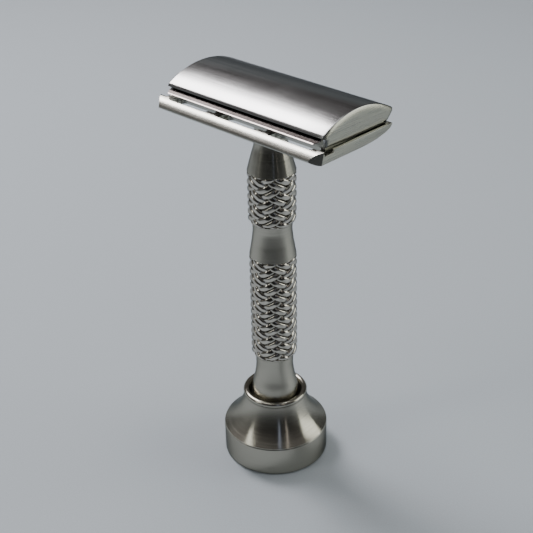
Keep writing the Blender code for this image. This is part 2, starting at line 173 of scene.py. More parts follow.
# Handle
HANDLE_BOTTOM = 5.3
HANDLE_TOP = 89.0
FOOT_RADIUS = 5.9
FOOT_TOP = 16.7
FOOT_CHAMFER = 0.5
LOWER_WAIST = [(5.48, 19.8), (4.9, 22.3), (4.56, 25.0), (4.6, 27.0), (4.66, 28.4)]
MIDDLE_CONE_EDGE = (5.52, 56.0)
MIDDLE_WAIST = [(5.1, 58.5), (4.84, 60.1), (4.6, 62.3), (4.62, 63.4), (4.7, 64.6)]
UPPER_CONE_EDGE = (5.58, 77.4)
UPPER_CONE = [(4.61, 81.0), (3.95, 83.3)]
NECK_RADIUS = 3.65
NECK_BOTTOM = 85.2
CONE_EDGE_ROUND = 0.12
WAIST_STEPS = 8
THREAD_BORE_RADIUS = 2.6
THREAD_BORE_FLOOR = 80.2

# Braid on the grips: pairs of round wires each way, two over two.
BRAID_RADIUS = 5.6
BRAID_PAIRS = 5
WIRE_PITCH = 1.85        # height between neighbouring wires of one direction
WIRE_HALF_WIDTH = 0.49   # of the pitch
WIRE_CROWN = 0.65        # how far a wire's round top stands up
WIRE_SQUARENESS = 3.2    # 2 makes a wire round, more makes it flatter on top
WIRE_SWING = 0.32        # how far a wire rises over and dips under
WIRE_FLAT = 1.25         # more than 1 flattens the tops of the waves
BRAID_FLOOR = 4.35
BRAID_STEP = 0.11
BRAID_END_TAPER = 1.3
BRAID_END_DROP = 0.8
BRAID_TOP_TAPER = 0.45
BRAID_TOP_DROP = 0.5
LOWER_GRIP = (28.4, 56.0)
UPPER_GRIP = (64.6, 77.4)
BRAID_TURN = -67.0       # azimuth of a seam between block columns, from the camera's side

# Base plate
PLATE_HALF_LENGTH = 24.4
LEDGE_HEIGHT = 91.52     # top of the rim round the plate
PLATE_BOTTOM = 89.07
PLATE_REAR_Y = 11.32
PLATE_EDGE_ROUND = 0.13
REAR_CURVE_START_Y = 0.5
REAR_TIP = 0.1           # height of the small flat under the rear rim
REAR_STEPS = 24
BAR_FACE = [(-10.1, 91.72), (-10.8, 91.51), (-11.4, 91.25), (-12.0, 90.86), (-12.5, 90.36), (-12.68, 89.98)]
BAR_UNDER = [(-12.55, 89.72), (-12.0, 89.35), (-11.4, 89.12), (-11.1, 89.07)]
BAR_FACE_STEPS = 5
BAR_UNDER_STEPS = 4
BAR_EDGE_Y = -12.68
CORNER_LEAN = 0.22       # how much a corner's slant leans back, per height
CORNER_START_Y = -10.87  # where the slanted front corners leave the plate's ends
TROUGH_FLOOR = 90.8      # between the bar and the blade's bed, and beside the bed
TROUGH_FRONT_Y = -10.1
TROUGH_ROUND = 0.3
TROUGH_STEPS = 6
SIDE_TROUGH_CORNER = 0.5
BED_FRONT_Y = -7.2
BED_BACK_Y = 8.0
BED_HALF_LENGTH = 22.1
BED_LOW_HEIGHT = 93.3
SIDE_TROUGH_OUTER_X = 23.95
SIDE_TROUGH_BACK_Y = 9.9
STUD_HOLE_RADIUS = 2.75
MIDDLE_WINDOW_HALF = 6.6
SIDE_WINDOW = (8.85, 21.65)
WINDOW_FRONT_Y = -10.8
WINDOW_CORNER = 1.2
SLOT_CORNER_STEPS = 8
UNDERCUT_FRONT_Y = -8.6  # below the bed the windows open further back
UNDERCUT_BACK_Y = -5.6
UNDERCUT_TOP = 90.6
CUT_MARGIN = 1.0         # how far a cutter runs past the faces it cuts
HOLE_SEGMENTS = 64
END_FACING = 0.85        # how squarely a face must look along X to count as an end
END_REACH = 0.01         # how near an end's plane an edge counts as lying on it
CLAMP_GAP = 0.05         # above and below the clamped blade
FIT = 0.03               # radial gap of a pressed or screwed-in piece

# Blade: the grind is given as distances from the cutting edge up the blade's slope.
BLADE_SLOPE = math.radians(16.4)
BLADE_THICKNESS = 0.25
BLADE_SMOOTH_ANGLE = math.radians(5)
EDGE_Y = -10.51
EDGE_HEIGHT = 92.81      # the flat's plane at the cutting edge
EDGE_HALF_LENGTH = 21.51
BLADE_HALF_LENGTH = 22.25
BLADE_CORNER = 1.1
BLADE_BACK_Y = -3.4
GRIND_TOP = 0.24
GRIND_DROP = 0.06
GRIND_UNDER = 0.75

# Locating pins
PIN_X = 15.0
PIN_Y = -5.3
PIN_RADIUS = 1.0
PIN_HOLE_RADIUS = 1.12
PIN_TOP = 95.3
PIN_BOTTOM = 91.9
PIN_HOLE_FLOOR = 91.5
PIN_NOSE = 0.3
PIN_NOSE_STEPS = 6

# Cap
CAP_HALF_LENGTH = 23.36
CAP_CROWN_HEIGHT = 97.3
CAP_WIDEST_HEIGHT = 94.08
CAP_FRONT_Y = -9.2
CAP_BACK_Y = 13.0
CAP_CROWN_STEPS = 32     # on each side of the crown
CAP_NOSE_ROUND = 1.2
CAP_NOSE_STEPS = 12
CAP_NOSE_END = 163.5     # angle at which the rolled nose stops, above the blade
CAP_RELIEF_HEIGHT = 93.78  # underside of the nose, clear of the blade's front
CAP_REAR_RIM = (11.4, 91.62)
CAP_REAR_SIDE_HEIGHT = 93.45
CAP_SPINE_Y = (-6.8, 9.6)
CAP_SPINE_HEIGHT = 93.0
CAP_SPINE_REACH = 3.2
CAP_EDGE_ROUND = 0.28
CAP_EDGE_STEPS = 4
CAP_END_TILT = 24.0      # how far a crowned end leans back where it meets the rounded edge
CAP_END_WIDTH = 1.5      # how far in from that edge an end is crowned
CAP_END_STEPS = 8
SKIRT_INNER_X = 22.45
SKIRT_FRONT_Y = -8.3
SKIRT_BACK_Y = 9.6
SKIRT_FRONT_HEIGHT = 91.6
SKIRT_BACK_HEIGHT = 91.0
CAP_INNER_FRONT_Y = -3.15
CAP_INNER_BACK_Y = 8.4
CAP_INNER_HEIGHT = 93.6

# Threaded stud, M5 x 0.8
STUD_RADIUS = 2.45
STUD_TOP = 95.9
STUD_BOTTOM = 81.5
STUD_CHAMFER = 0.4
THREAD_TOP = 92.6
THREAD_PITCH = 0.8
THREAD_ROWS = 10
THREAD_DEPTH = 0.42
THREAD_GROOVE_SHARE = 0.9

# Pad
PAD_RADIUS = 10.4
PAD_THICKNESS = 1.5
PAD_ROUND = 0.25
PAD_ROUND_STEPS = 4
PAD_GROOVES = (8.6, 6.6, 4.6, 2.6)
PAD_GROOVE_HALF = 0.35
PAD_GROOVE_DEPTH = 0.25


def points_on_arc(centre, radius, start, end, steps):
    """Points on an arc in the (across, up) plane; angles in degrees."""
    points = []
    for step in range(steps + 1):
        angle = math.radians(start + (end - start) * step / steps)
        points.append((centre[0] + radius * math.cos(angle), centre[1] + radius * math.sin(angle)))
    return points


def bowed_line(start, end, bow, steps):
    """Points from start to end along a shallow arc."""
    start, end = Vector(start), Vector(end)
    chord = end - start
    normal = Vector((-chord.y, chord.x)).normalized()
    points = []
    for step in range(steps + 1):
        t = step / steps
        points.append(tuple(start + chord * t + normal * (4.0 * bow * t * (1.0 - t))))
    return points


def smooth_through(stations, steps):
    """A Catmull-Rom curve through the stations."""
    ends = [Vector(p) for p in stations]
    padded = [ends[0] * 2 - ends[1]] + ends + [ends[-1] * 2 - ends[-2]]
    points = [tuple(ends[0])]
    for before, here, after, beyond in zip(padded, padded[1:], padded[2:], padded[3:]):
        for step in range(1, steps + 1):
            t = step / steps
            point = 0.5 * (
                2.0 * here
                + (after - before) * t
                + (2.0 * before - 5.0 * here + 4.0 * after - beyond) * t ** 2
                + (3.0 * here - before - 3.0 * after + beyond) * t ** 3
            )
            points.append(tuple(point))
    return points


def add_object(name, bm, look):
    """Turn a bmesh into an object in the scene, smooth but for its sharp edges."""
    bmesh.ops.recalc_face_normals(bm, faces=bm.faces)
    mesh = bpy.data.meshes.new(name)
    bm.to_mesh(mesh)
    bm.free()
    if look is not None:
        mesh.materials.append(look)
    mesh.shade_smooth()
    mesh.set_sharp_from_angle(angle=SMOOTH_ANGLE)
    made = bpy.data.objects.new(name, mesh)
    bpy.context.scene.collection.objects.link(made)
    return made


def ring_mesh(bm, radius_at, heights, segments):
    """Rings of vertices at the heights, radius_at(angle, height) wide, joined by quads."""
    rings = []
    for height in heights:
        ring = []
        for number in range(segments):
            angle = math.tau * number / segments
            radius = radius_at(angle, height)
            place = (radius * math.cos(angle) * MM, radius * math.sin(angle) * MM, height * MM)
            ring.append(bm.verts.new(place))
        rings.append(ring)
    for lower, upper in zip(rings, rings[1:]):
        for number in range(segments):
            following = (number + 1) % segments
            bm.faces.new((lower[number], lower[following], upper[following], upper[number]))
    return rings


def turned(name, outline, look, segments=TURNED_SEGMENTS):
    """Turn an outline of (radius, height) points, from axis to axis, about Z."""
    bm = bmesh.new()
    rings = []
    for radius, height in outline:
        if radius == 0.0:
            rings.append([bm.verts.new((0.0, 0.0, height * MM))])
            continue
        ring = []
        for number in range(segments):
            angle = math.tau * number / segments
            place = (radius * math.cos(angle) * MM, radius * math.sin(angle) * MM, height * MM)
            ring.append(bm.verts.new(place))
        rings.append(ring)
    for one, other in zip(rings, rings[1:]):
        for number in range(segments):
            following = (number + 1) % segments
            if len(one) == 1:
                bm.faces.new((one[0], other[number], other[following]))
            elif len(other) == 1:
                bm.faces.new((one[number], other[0], one[following]))
            else:
                bm.faces.new((one[number], other[number], other[following], one[following]))
    return add_object(name, bm, look)


# ---------------------------------------------------------------- materials

def principled(name, colour, roughness, metallic=1.0):
    """A new material and its Principled shader."""
    made = bpy.data.materials.new(name)
    made.use_nodes = True
    shader = made.node_tree.nodes["Principled BSDF"]
    shader.inputs["Base Color"].default_value = (*colour, 1.0)
    shader.inputs["Roughness"].default_value = roughness
    shader.inputs["Metallic"].default_value = metallic
    return made, shader


def ramp(nodes, links, value, stops):
    """A colour ramp over value from (position, colour) stops."""
    made = nodes.new("ShaderNodeValToRGB")
    elements = made.color_ramp.elements
    while len(elements) < len(stops):
        elements.new(0.5)
    for element, (position, colour) in zip(elements, stops):
        element.position = position
        element.color = (*colour, 1.0)
    links.new(value, made.inputs["Fac"])
    return made.outputs["Color"]


def spread(nodes, links, value, from_low, from_high, to_low, to_high):
    """Map a value from one range to another, held at its ends."""
    made = nodes.new("ShaderNodeMapRange")
    made.inputs["From Min"].default_value = from_low
    made.inputs["From Max"].default_value = from_high
    made.inputs["To Min"].default_value = to_low
    made.inputs["To Max"].default_value = to_high
    links.new(value, made.inputs["Value"])
    return made.outputs["Result"]


def spread_noise(nodes, links, place, scale, detail, low, high):
    """Noise stretched by scale, spread between low and high."""
    mapping = nodes.new("ShaderNodeMapping")
    mapping.inputs["Scale"].default_value = scale
    links.new(place, mapping.inputs["Vector"])
    noise = nodes.new("ShaderNodeTexNoise")
    noise.inputs["Scale"].default_value = 1.0
    noise.inputs["Detail"].default_value = detail
    links.new(mapping.outputs["Vector"], noise.inputs["Vector"])
    return spread(nodes, links, noise.outputs["Fac"], NOISE_LOW, NOISE_HIGH, low, high)


def colour_multiplier(nodes):
    """A node that multiplies its colour A by its colour B."""
    made = nodes.new("ShaderNodeMix")
    made.data_type = "RGBA"
    made.blend_type = "MULTIPLY"
    made.inputs["Factor"].default_value = 1.0
    return made


def add_bump(nodes, links, shader, height, strength, depth):
    """Bump the shader's normal by a height, depth millimetres deep."""
    bump = nodes.new("ShaderNodeBump")
    bump.inputs["Strength"].default_value = strength
    bump.inputs["Distance"].default_value = depth * MM
    links.new(height, bump.inputs["Height"])
    links.new(bump.outputs["Normal"], shader.inputs["Normal"])


def multiply(nodes, links, one, other):
    """The product of two values."""
    product = nodes.new("ShaderNodeMath")
    product.operation = "MULTIPLY"
    links.new(one, product.inputs[0])
    links.new(other, product.inputs[1])
    return product.outputs["Value"]


def brush(nodes, links, shader, axis, anisotropy, quarter_turn):
    """Stretch the highlights of a steel that is brushed round an axis."""
    shader.inputs["Anisotropic"].default_value = anisotropy
    shader.inputs["Anisotropic Rotation"].default_value = QUARTER_TURN if quarter_turn else 0.0
    around = nodes.new("ShaderNodeTangent")
    around.direction_type = "RADIAL"
    around.axis = axis
    links.new(around.outputs["Tangent"], shader.inputs["Tangent"])


def worn_colour_and_painted_shade(nodes, links, tint, colour):
    """The tint, paler on worn edges, with painted shade darkening its recesses."""
    pointiness = nodes.new("ShaderNodeNewGeometry").outputs["Pointiness"]
    # painted shade: recesses found by pointiness are darkened
    recess = spread(nodes, links, pointiness, PAINTED_RECESS_SHADE_DEEP, PAINTED_RECESS_SHADE_START, PAINTED_RECESS_SHADE_DARK, 1.0)
    edge = spread(nodes, links, pointiness, WEAR_START, WEAR_FULL, 0.0, 1.0)
    worn = nodes.new("ShaderNodeMix")
    worn.data_type = "RGBA"
    links.new(edge, worn.inputs["Factor"])
    links.new(tint, worn.inputs["A"])
    worn.inputs["B"].default_value = (*(min(1.0, WEAR_LIGHT * part) for part in colour), 1.0)
    shaded = colour_multiplier(nodes)
    links.new(worn.outputs["Result"], shaded.inputs["A"])
    links.new(recess, shaded.inputs["B"])
    return shaded.outputs["Result"]


def steel(name, colour, roughness, lines, bump_height, brushed_round=None, anisotropy=0.0,
          quarter_turn=False):
    """Steel with tool lines: lines gives the noise's scale along X, Y and Z."""
    made, shader = principled(name, colour, roughness)
    nodes, links = made.node_tree.nodes, made.node_tree.links
    shader.inputs["Specular Tint"].default_value = (*EDGE_TINT, 1.0)
    if brushed_round:
        brush(nodes, links, shader, brushed_round, anisotropy, quarter_turn)
    place = nodes.new("ShaderNodeTexCoord").outputs["Object"]
    line_tone = spread_noise(nodes, links, place, lines, LINE_DETAIL, 0.0, 1.0)
    tint = ramp(nodes, links, line_tone, [
        (0.0, tuple(LINE_DARK * part for part in colour)),
        (1.0, tuple(min(1.0, LINE_LIGHT * part) for part in colour)),
    ])
    links.new(worn_colour_and_painted_shade(nodes, links, tint, colour), shader.inputs["Base Color"])
    smoothest, roughest = (roughness * share for share in LINE_ROUGH)
    line_rough = spread_noise(nodes, links, place, lines, LINE_ROUGH_DETAIL, smoothest, roughest)
    smudge = spread_noise(nodes, links, place, SMUDGE_SCALE, SMUDGE_DETAIL, *SMUDGE_TONES)
    links.new(multiply(nodes, links, line_rough, smudge), shader.inputs["Roughness"])
    add_bump(nodes, links, shader, line_tone, 1.0, bump_height)
    return made


def rubber(name):
    """Moulded rubber with a fine pitted surface and rubbed, paler high spots."""
    made, shader = principled(name, RUBBER_COLOUR, RUBBER_ROUGHNESS, 0.0)
    nodes, links = made.node_tree.nodes, made.node_tree.links
    place = nodes.new("ShaderNodeTexCoord").outputs["Object"]
    pits = spread_noise(nodes, links, place, RUBBER_PITS, RUBBER_PIT_DETAIL, 0.0, 1.0)
    tone = ramp(nodes, links, pits, [(0.0, RUBBER_COLOUR), (1.0, RUBBER_RUBBED)])
    links.new(tone, shader.inputs["Base Color"])
    rough = spread_noise(nodes, links, place, SMUDGE_SCALE, SMUDGE_DETAIL, *RUBBER_ROUGH)
    links.new(rough, shader.inputs["Roughness"])
    add_bump(nodes, links, shader, pits, RUBBER_PIT_STRENGTH, RUBBER_PIT_DEPTH)
    return made


# ---------------------------------------------------------------- stand and handle

def build_stand(look):
    """The turned stand: bore, rolled lip, hollow shoulder, base and a recess for the pad."""
    outline = [(0.0, BORE_FLOOR), (BORE_RADIUS, BORE_FLOOR), (BORE_RADIUS, LIP_CENTRE_HEIGHT - LIP_RADIUS)]
    lip_centre = (LIP_CENTRE_RADIUS, LIP_CENTRE_HEIGHT)
    outline += points_on_arc(lip_centre, LIP_RADIUS, 180, LIP_END_ANGLE, LIP_STEPS)
    outline += bowed_line(
        (SHOULDER_TOP_RADIUS, SHOULDER_TOP),
        (STAND_RADIUS - STAND_RIM_ROUND * 0.5, STAND_RIM_HEIGHT + STAND_RIM_ROUND * 0.5),
        -SHOULDER_HOLLOW, SHOULDER_STEPS,
    )
    outline += points_on_arc(
        (STAND_RADIUS - STAND_RIM_ROUND, STAND_RIM_HEIGHT - STAND_RIM_ROUND),
        STAND_RIM_ROUND, 45, 0, RIM_TOP_STEPS,
    )
    outline += points_on_arc(
        (STAND_RADIUS - STAND_RIM_ROUND, STAND_FOOT + STAND_RIM_ROUND),
        STAND_RIM_ROUND, 0, -90, RIM_FOOT_STEPS,
    )
    outline += [(PAD_RECESS_RADIUS, STAND_FOOT), (PAD_RECESS_RADIUS, PAD_RECESS_TOP), (0.0, PAD_RECESS_TOP)]
    made = turned("stand_turned", outline, look)
    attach(made, STAND_BODY)
    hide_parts("stand")


def build_handle_bars(look):
    """The plain turned stretches of the handle: foot and lower waist, middle waist, neck."""
    foot = [(0.0, LOWER_GRIP[0])]
    foot += smooth_through(LOWER_WAIST[::-1] + [(FOOT_RADIUS, FOOT_TOP)], WAIST_STEPS)
    foot += [(FOOT_RADIUS, HANDLE_BOTTOM + FOOT_CHAMFER), (FOOT_RADIUS - FOOT_CHAMFER, HANDLE_BOTTOM)]
    foot += [(0.0, HANDLE_BOTTOM)]
    middle = [(0.0, UPPER_GRIP[0])]
    middle += smooth_through(MIDDLE_WAIST[::-1] + [MIDDLE_CONE_EDGE], WAIST_STEPS)
    middle += [(MIDDLE_CONE_EDGE[0] - CONE_EDGE_ROUND, MIDDLE_CONE_EDGE[1] - CONE_EDGE_ROUND)]
    middle += [(0.0, MIDDLE_CONE_EDGE[1] - CONE_EDGE_ROUND)]
    neck = [(0.0, THREAD_BORE_FLOOR), (THREAD_BORE_RADIUS, THREAD_BORE_FLOOR)]
    neck += [(THREAD_BORE_RADIUS, HANDLE_TOP), (NECK_RADIUS, HANDLE_TOP)]
    cone = [(NECK_RADIUS, NECK_BOTTOM)] + UPPER_CONE[::-1] + [UPPER_CONE_EDGE]
    neck += smooth_through(cone, WAIST_STEPS)
    neck += [(UPPER_CONE_EDGE[0] - CONE_EDGE_ROUND, UPPER_CONE_EDGE[1] - CONE_EDGE_ROUND)]
    neck += [(0.0, UPPER_CONE_EDGE[1] - CONE_EDGE_ROUND)]
    for name, outline in (("handle_foot", foot), ("handle_waist", middle), ("handle_neck", neck)):
        made = turned(name, outline, look)
        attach(made, HANDLE_BODY)
        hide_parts("handle")


def wire_height(across, along, sign):
    """Height of the nearest wire: across counts wires, along counts the wires that it crosses."""
    number = round(across)
    offset = (across - number) / WIRE_HALF_WIDTH
    if abs(offset) >= 1.0:
        return 0.0
    crown = WIRE_CROWN * math.sqrt(1.0 - abs(offset) ** WIRE_SQUARENESS)
    pair = math.floor(number / 2)
    wave = WIRE_FLAT * math.cos(math.pi * (along - 0.5) / 2.0)
    wave = max(-1.0, min(1.0, wave)) * sign * (-1.0) ** pair
    return BRAID_RADIUS - WIRE_CROWN - WIRE_SWING + WIRE_SWING * wave + crown


def build_grip(name, span, look):
    """A band of braid as one closed solid."""
    bottom, top = span
    wires = 2 * BRAID_PAIRS
    turn = math.radians(BRAID_TURN) + math.radians(CAMERA_HEADING - 90.0)

    def radius_at(angle, height):
        around = (angle - turn) * wires / math.tau
        rise = (height - bottom) / WIRE_PITCH
        falling = wire_height(around + rise, around - rise, 1.0)
        rising = wire_height(around - rise, around + rise, -1.0)
        radius = max(falling, rising, BRAID_FLOOR)
        end = max(0.0, 1.0 - (height - bottom) / BRAID_END_TAPER)
        tuck = max(0.0, 1.0 - (top - height) / BRAID_TOP_TAPER)
        drop = BRAID_END_DROP * (1.0 - math.sqrt(1.0 - end ** 2))
        drop += BRAID_TOP_DROP * (1.0 - math.sqrt(1.0 - tuck ** 2))
        return radius - drop

    segments = round(math.tau * BRAID_RADIUS / BRAID_STEP)
    rows = round((top - bottom) / BRAID_STEP)
    heights = [bottom + (top - bottom) * row / rows for row in range(rows + 1)]
    bm = bmesh.new()
    rings = ring_mesh(bm, radius_at, heights, segments)
    bm.faces.new(rings[0][::-1])
    bm.faces.new(rings[-1])
    made = add_object(name, bm, look)
    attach(made, HANDLE_BODY)
    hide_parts("handle")


# ---------------------------------------------------------------- head

def carve(target, cutters):
    """Cut the cutters out of the target for good, and remove them."""
    for cutter in cutters:
        cut = target.modifiers.new(cutter.name, "BOOLEAN")
        cut.operation = "DIFFERENCE"
        cut.solver = "EXACT"
        cut.object = cutter
    result = target.evaluated_get(bpy.context.evaluated_depsgraph_get())
    carved = bpy.data.meshes.new_from_object(result)
    target.modifiers.clear()
    target.data = carved
    for cutter in cutters:
        bpy.data.objects.remove(cutter, do_unlink=True)


def prism(name, section, x_low, x_high, look):
    """Extrude a closed (y, z) section along X."""
    bm = bmesh.new()
    ends = [[bm.verts.new((x * MM, y * MM, z * MM)) for y, z in section] for x in (x_low, x_high)]
    join_rings(bm, ends)
    return add_object(name, bm, look)


def join_rings(bm, rings):
    """Join rings of vertices into a closed solid with flat ends."""
    count = len(rings[0])
    for one, other in zip(rings, rings[1:]):
        for number in range(count):
            following = (number + 1) % count
            bm.faces.new((one[number], one[following], other[following], other[number]))
    bm.faces.new(rings[0][::-1])
    bm.faces.new(rings[-1])


def upright_cut(name, outline, z_low, z_high):
    """A cutter: a closed (x, y) outline extruded along Z."""
    bm = bmesh.new()
    ends = [[bm.verts.new((x * MM, y * MM, z * MM)) for x, y in outline] for z in (z_low, z_high)]
    join_rings(bm, ends)
    return add_object(name, bm, None)


def round_cut(name, radius, z_low, z_high, centre=(0.0, 0.0)):
    """A cutter for a round upright hole."""
    half_step = 180.0 / HOLE_SEGMENTS
    outline = points_on_arc(centre, radius, half_step, 360.0 - half_step, HOLE_SEGMENTS - 1)
    return upright_cut(name, outline, z_low, z_high)


def corner_cut(side, z_low, z_high):
    """A cutter for a slanted front corner, which leans back towards its top."""
    run = CORNER_START_Y - BAR_EDGE_Y
    outer = side * (PLATE_HALF_LENGTH + CUT_MARGIN)
    inner = side * (PLATE_HALF_LENGTH - run - CUT_MARGIN)
    clear = BAR_EDGE_Y - CUT_MARGIN - CUT_MARGIN
    bm = bmesh.new()
    rings = []
    for z in (z_low, z_high):
        lean = (z - PLATE_BOTTOM) * CORNER_LEAN
        outline = [
            (outer, CORNER_START_Y + CUT_MARGIN + lean),
            (inner, BAR_EDGE_Y - CUT_MARGIN + lean),
            (inner, clear),
            (outer, clear),
        ]
        rings.append([bm.verts.new((x * MM, y * MM, z * MM)) for x, y in outline])
    join_rings(bm, rings)
    return add_object("corner_cut", bm, None)


def rounded_slot(x_low, x_high, y_low, y_high, corner):
    """Outline of a rectangle with round corners."""
    outline = points_on_arc((x_high - corner, y_low + corner), corner, -90, 0, SLOT_CORNER_STEPS)
    outline += points_on_arc((x_high - corner, y_high - corner), corner, 0, 90, SLOT_CORNER_STEPS)
    outline += points_on_arc((x_low + corner, y_high - corner), corner, 90, 180, SLOT_CORNER_STEPS)
    outline += points_on_arc((x_low + corner, y_low + corner), corner, 180, 270, SLOT_CORNER_STEPS)
    return outline


def blade_top(y):
    """Height of the blade's upper surface."""
    return EDGE_HEIGHT + (y - EDGE_Y) * math.tan(BLADE_SLOPE)


def bed_top(y):
    """Height of the plate's bed, just under the blade."""
    return blade_top(y) - BLADE_THICKNESS / math.cos(BLADE_SLOPE) - CLAMP_GAP


def soften_edges(target, offset, chosen):
    """Round the sharp edges whose middles, in millimetres, are chosen."""
    bm = bmesh.new()
    bm.from_mesh(target.data)
    sharp = []
    for edge in bm.edges:
        if len(edge.link_faces) != 2 or edge.calc_face_angle() < SMOOTH_ANGLE:
            continue
        if chosen((edge.verts[0].co + edge.verts[1].co) / (2.0 * MM)):
            sharp.append(edge)
    bmesh.ops.bevel(bm, geom=sharp, offset=offset * MM, segments=BEVEL_SEGMENTS, profile=0.5,
                    affect="EDGES", clamp_overlap=True)
    bm.to_mesh(target.data)
    bm.free()
    target.data.shade_smooth()
    target.data.set_sharp_from_angle(angle=SMOOTH_ANGLE)


def plate_section():
    """Section through the plate: bar, underside, rear rim, blade bed and trough."""
    bar = smooth_through(BAR_FACE, BAR_FACE_STEPS)
    bar += smooth_through([BAR_FACE[-1]] + BAR_UNDER, BAR_UNDER_STEPS)[1:]
    reach = PLATE_REAR_Y - REAR_CURVE_START_Y
    depth = LEDGE_HEIGHT - REAR_TIP - PLATE_BOTTOM
    rear = []
    for step in range(REAR_STEPS + 1):
        along = math.sin(math.pi / 2 * step / REAR_STEPS)
        drop = depth * math.sqrt(max(0.0, 1.0 - along ** 2))
        rear.append((REAR_CURVE_START_Y + reach * along, LEDGE_HEIGHT - REAR_TIP - drop))
    behind_blade = BLADE_BACK_Y - CLAMP_GAP
    top = [
        (PLATE_REAR_Y, LEDGE_HEIGHT),
        (BED_BACK_Y, LEDGE_HEIGHT),
        (BED_BACK_Y, BED_LOW_HEIGHT),
        (behind_blade, BED_LOW_HEIGHT),
        (behind_blade, bed_top(behind_blade)),
        (BED_FRONT_Y, bed_top(BED_FRONT_Y)),
    ]
    back_corner = (BED_FRONT_Y - TROUGH_ROUND, TROUGH_FLOOR + TROUGH_ROUND)
    front_corner = (TROUGH_FRONT_Y + TROUGH_ROUND, TROUGH_FLOOR + TROUGH_ROUND)
    top += points_on_arc(back_corner, TROUGH_ROUND, 0, -90, TROUGH_STEPS)
    top += points_on_arc(front_corner, TROUGH_ROUND, 270, 180, TROUGH_STEPS)
    return bar + rear + top


def plate_cutters():
    """Everything that is milled out of the plate's blank."""
    low = PLATE_BOTTOM - CUT_MARGIN
    high = blade_top(BLADE_BACK_Y) + CUT_MARGIN
    past = PLATE_HALF_LENGTH + CUT_MARGIN
    cutters = [round_cut("stud_cut", STUD_HOLE_RADIUS, low, high)]
    windows = [(-MIDDLE_WINDOW_HALF, MIDDLE_WINDOW_HALF), SIDE_WINDOW, (-SIDE_WINDOW[1], -SIDE_WINDOW[0])]
    for x_low, x_high in windows:
        outline = rounded_slot(x_low, x_high, WINDOW_FRONT_Y, BED_FRONT_Y, WINDOW_CORNER)
        cutters.append(upright_cut("window_cut", outline, low, high))
        undercut = rounded_slot(x_low, x_high, UNDERCUT_FRONT_Y, UNDERCUT_BACK_Y, WINDOW_CORNER)
        cutters.append(upright_cut("undercut_cut", undercut, low, UNDERCUT_TOP))
    for side in (1, -1):
        outer = side * past
        inner = side * BED_HALF_LENGTH
        front, back = TROUGH_FRONT_Y + CUT_MARGIN, PLATE_REAR_Y + CUT_MARGIN
        beside_bed = [(inner, front), (outer, front), (outer, back), (inner, back)]
        cutters.append(upright_cut("bed_end_cut", beside_bed, LEDGE_HEIGHT, high))
        trough_outer = side * SIDE_TROUGH_OUTER_X
        trough = rounded_slot(min(inner, trough_outer), max(inner, trough_outer),
                              TROUGH_FRONT_Y, SIDE_TROUGH_BACK_Y, SIDE_TROUGH_CORNER)
        cutters.append(upright_cut("side_trough_cut", trough, TROUGH_FLOOR, high))
        cutters.append(corner_cut(side, low, high))
        cutters.append(round_cut("pin_cut", PIN_HOLE_RADIUS, PIN_HOLE_FLOOR, high, (side * PIN_X, PIN_Y)))
    return cutters


def build_base_plate(look, end_look):
    """The milled plate: bar, ribs, windows, trough and bed, with brushed ends."""
    plate = prism("plate_milled", plate_section(), -PLATE_HALF_LENGTH, PLATE_HALF_LENGTH, look)
    carve(plate, plate_cutters())
    soften_edges(plate, PLATE_EDGE_ROUND, lambda p: abs(p.x) > PLATE_HALF_LENGTH - END_REACH)
    dress_ends(plate, end_look)
    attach(plate, PLATE_BODY)
    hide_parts("base_plate")


def dress_ends(target, end_look):
    """Give the faces that look along X their own brushed material."""
    target.data.materials.append(end_look)
    for face in target.data.polygons:
        if abs(face.normal.x) > END_FACING:
            face.material_index = 1


